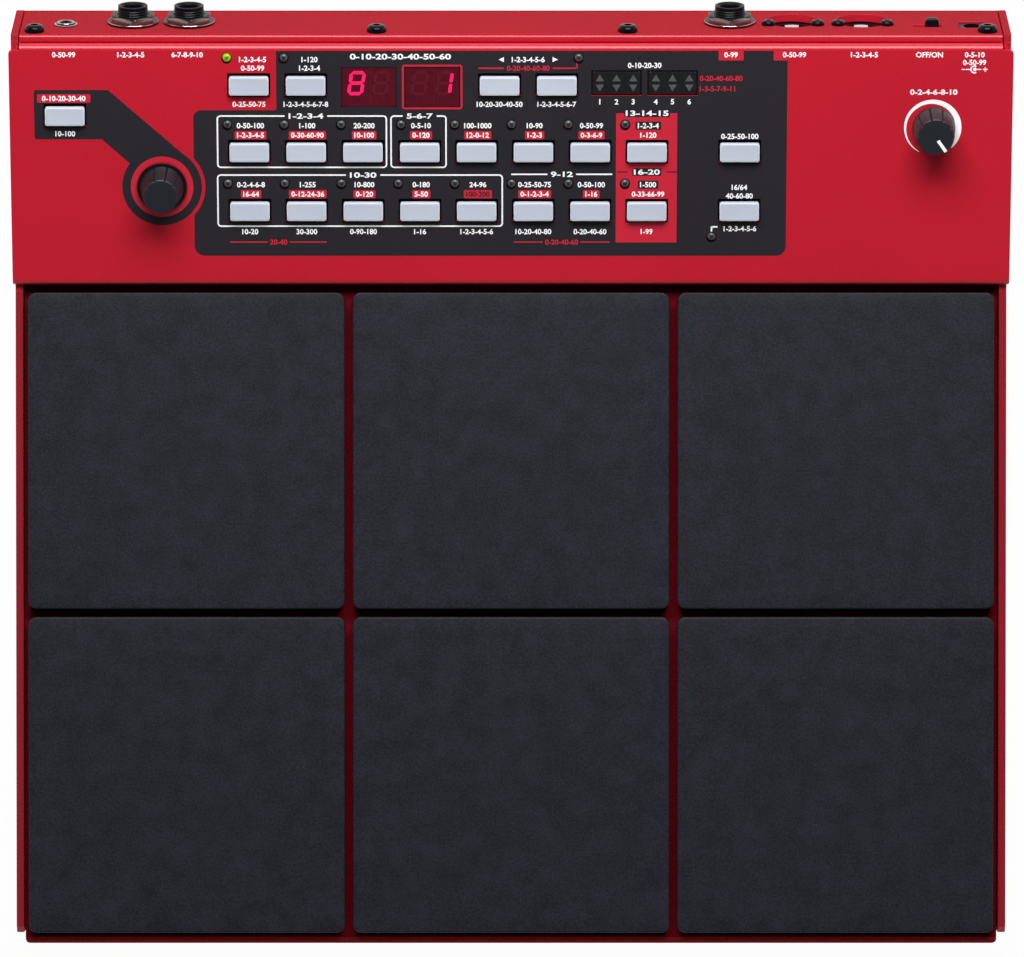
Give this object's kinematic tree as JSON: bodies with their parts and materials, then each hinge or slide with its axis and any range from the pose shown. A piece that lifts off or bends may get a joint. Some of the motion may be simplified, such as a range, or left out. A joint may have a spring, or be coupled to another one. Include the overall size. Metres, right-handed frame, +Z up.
{
  "type": "electronic drum pad",
  "caption": "Electronic drum pad: square rubber pads on a red metal base, with a sloping control panel, push buttons, two knobs and rear sockets.",
  "frame": {"origin": "on the surface under the feet, below the centre of the object's box", "axes": "+X to the player's right, +Y away from the player towards the sockets, +Z up"},
  "size_m": [0.3262, 0.3092, 0.0602],
  "materials": {
    "red_powder_coat": "fine-textured powder coat",
    "pad_rubber": "matt moulded rubber",
    "foot_rubber": "moulded rubber",
    "button_plastic": "moulded grey plastic",
    "knob_plastic": "moulded black plastic",
    "black_plastic": "moulded black plastic",
    "nickel_steel": "bright nickel plate",
    "circuit_board": "solder mask on glass fibre",
    "red_acrylic": "polished dark red filter",
    "smoked_acrylic": "polished smoked filter",
    "piezo_brass": "rolled brass disc"
  },
  "bodies": {
    "housing": {"chassis": "red_powder_coat", "pad_tray": "red_powder_coat", "drum_pad_1": "pad_rubber", "drum_pad_2": "pad_rubber", "drum_pad_3": "pad_rubber", "drum_pad_4": "pad_rubber", "drum_pad_5": "pad_rubber", "drum_pad_6": "pad_rubber", "sensor_sheet": "piezo_brass", "foot_front_left": "foot_rubber", "foot_front_right": "foot_rubber", "foot_rear_left": "foot_rubber", "foot_rear_right": "foot_rubber", "control_panel": "red_powder_coat", "display_filter": "red_acrylic", "channel_lens": "smoked_acrylic", "control_board": "circuit_board", "encoder_body": "nickel_steel", "master_level_body": "nickel_steel", "rear_panel": "red_powder_coat", "jack_1": "black_plastic", "jack_2": "black_plastic", "jack_3": "black_plastic", "jack_nut_1": "nickel_steel", "jack_nut_2": "nickel_steel", "jack_nut_3": "nickel_steel", "phones_jack": "black_plastic", "data_socket_1": "black_plastic", "data_socket_2": "black_plastic", "dc_inlet": "black_plastic", "power_switch": "black_plastic", "jack_board": "circuit_board"},
    "panic_button": {"panic_button": "button_plastic"},
    "kit_button": {"kit_button": "button_plastic"},
    "drum_button": {"drum_button": "button_plastic"},
    "channel_previous_button": {"channel_previous_button": "button_plastic"},
    "channel_next_button": {"channel_next_button": "button_plastic"},
    "shift_button": {"shift_button": "button_plastic"},
    "tap_button": {"tap_button": "button_plastic"},
    "noise_resonance_button": {"noise_resonance_button": "button_plastic"},
    "noise_frequency_button": {"noise_frequency_button": "button_plastic"},
    "noise_decay_button": {"noise_decay_button": "button_plastic"},
    "click_level_button": {"click_level_button": "button_plastic"},
    "equaliser_button": {"equaliser_button": "button_plastic"},
    "distortion_button": {"distortion_button": "button_plastic"},
    "reverb_amount_button": {"reverb_amount_button": "button_plastic"},
    "reverb_color_button": {"reverb_color_button": "button_plastic"},
    "tone_spectra_button": {"tone_spectra_button": "button_plastic"},
    "tone_frequency_button": {"tone_frequency_button": "button_plastic"},
    "tone_decay_button": {"tone_decay_button": "button_plastic"},
    "tone_bend_button": {"tone_bend_button": "button_plastic"},
    "tone_pitch_button": {"tone_pitch_button": "button_plastic"},
    "noise_level_button": {"noise_level_button": "button_plastic"},
    "channel_level_button": {"channel_level_button": "button_plastic"},
    "delay_rate_button": {"delay_rate_button": "button_plastic"},
    "encoder": {"encoder_shaft": "nickel_steel", "encoder_knob": "knob_plastic"},
    "master_level": {"master_level_shaft": "nickel_steel", "master_level_knob": "knob_plastic"},
    "power_lever": {"power_lever": "black_plastic"}
  },
  "joints": [
    {"name": "panic_press", "type": "slide", "parent": "housing", "child": "panic_button", "axis": [0, 0.2756, -0.9613], "range_m": [0, 0.0005], "stiffness_N_per_m": 300},
    {"name": "kit_press", "type": "slide", "parent": "housing", "child": "kit_button", "axis": [0, 0.2756, -0.9613], "range_m": [0, 0.0005], "stiffness_N_per_m": 300},
    {"name": "drum_press", "type": "slide", "parent": "housing", "child": "drum_button", "axis": [0, 0.2756, -0.9613], "range_m": [0, 0.0005], "stiffness_N_per_m": 300},
    {"name": "channel_previous_press", "type": "slide", "parent": "housing", "child": "channel_previous_button", "axis": [0, 0.2756, -0.9613], "range_m": [0, 0.0005], "stiffness_N_per_m": 300},
    {"name": "channel_next_press", "type": "slide", "parent": "housing", "child": "channel_next_button", "axis": [0, 0.2756, -0.9613], "range_m": [0, 0.0005], "stiffness_N_per_m": 300},
    {"name": "shift_press", "type": "slide", "parent": "housing", "child": "shift_button", "axis": [0, 0.2756, -0.9613], "range_m": [0, 0.0005], "stiffness_N_per_m": 300},
    {"name": "tap_press", "type": "slide", "parent": "housing", "child": "tap_button", "axis": [0, 0.2756, -0.9613], "range_m": [0, 0.0005], "stiffness_N_per_m": 300},
    {"name": "noise_resonance_press", "type": "slide", "parent": "housing", "child": "noise_resonance_button", "axis": [0, 0.2756, -0.9613], "range_m": [0, 0.0005], "stiffness_N_per_m": 300},
    {"name": "noise_frequency_press", "type": "slide", "parent": "housing", "child": "noise_frequency_button", "axis": [0, 0.2756, -0.9613], "range_m": [0, 0.0005], "stiffness_N_per_m": 300},
    {"name": "noise_decay_press", "type": "slide", "parent": "housing", "child": "noise_decay_button", "axis": [0, 0.2756, -0.9613], "range_m": [0, 0.0005], "stiffness_N_per_m": 300},
    {"name": "click_level_press", "type": "slide", "parent": "housing", "child": "click_level_button", "axis": [0, 0.2756, -0.9613], "range_m": [0, 0.0005], "stiffness_N_per_m": 300},
    {"name": "equaliser_press", "type": "slide", "parent": "housing", "child": "equaliser_button", "axis": [0, 0.2756, -0.9613], "range_m": [0, 0.0005], "stiffness_N_per_m": 300},
    {"name": "distortion_press", "type": "slide", "parent": "housing", "child": "distortion_button", "axis": [0, 0.2756, -0.9613], "range_m": [0, 0.0005], "stiffness_N_per_m": 300},
    {"name": "reverb_amount_press", "type": "slide", "parent": "housing", "child": "reverb_amount_button", "axis": [0, 0.2756, -0.9613], "range_m": [0, 0.0005], "stiffness_N_per_m": 300},
    {"name": "reverb_color_press", "type": "slide", "parent": "housing", "child": "reverb_color_button", "axis": [0, 0.2756, -0.9613], "range_m": [0, 0.0005], "stiffness_N_per_m": 300},
    {"name": "tone_spectra_press", "type": "slide", "parent": "housing", "child": "tone_spectra_button", "axis": [0, 0.2756, -0.9613], "range_m": [0, 0.0005], "stiffness_N_per_m": 300},
    {"name": "tone_frequency_press", "type": "slide", "parent": "housing", "child": "tone_frequency_button", "axis": [0, 0.2756, -0.9613], "range_m": [0, 0.0005], "stiffness_N_per_m": 300},
    {"name": "tone_decay_press", "type": "slide", "parent": "housing", "child": "tone_decay_button", "axis": [0, 0.2756, -0.9613], "range_m": [0, 0.0005], "stiffness_N_per_m": 300},
    {"name": "tone_bend_press", "type": "slide", "parent": "housing", "child": "tone_bend_button", "axis": [0, 0.2756, -0.9613], "range_m": [0, 0.0005], "stiffness_N_per_m": 300},
    {"name": "tone_pitch_press", "type": "slide", "parent": "housing", "child": "tone_pitch_button", "axis": [0, 0.2756, -0.9613], "range_m": [0, 0.0005], "stiffness_N_per_m": 300},
    {"name": "noise_level_press", "type": "slide", "parent": "housing", "child": "noise_level_button", "axis": [0, 0.2756, -0.9613], "range_m": [0, 0.0005], "stiffness_N_per_m": 300},
    {"name": "channel_level_press", "type": "slide", "parent": "housing", "child": "channel_level_button", "axis": [0, 0.2756, -0.9613], "range_m": [0, 0.0005], "stiffness_N_per_m": 300},
    {"name": "delay_rate_press", "type": "slide", "parent": "housing", "child": "delay_rate_button", "axis": [0, 0.2756, -0.9613], "range_m": [0, 0.0005], "stiffness_N_per_m": 300},
    {"name": "encoder_turn", "type": "hinge", "parent": "housing", "child": "encoder", "pos_m": [-0.1138, 0.09407, 0.04129], "axis": [0, -0.2756, 0.9613], "continuous": true},
    {"name": "master_level_turn", "type": "hinge", "parent": "housing", "child": "master_level", "pos_m": [0.1376, 0.1133, 0.0468], "axis": [0, -0.2756, 0.9613], "range_deg": [0, 300]},
    {"name": "power_slide", "type": "slide", "parent": "housing", "child": "power_lever", "axis": [-1, 0, 0], "range_m": [0, 0.0036]}
  ]
}
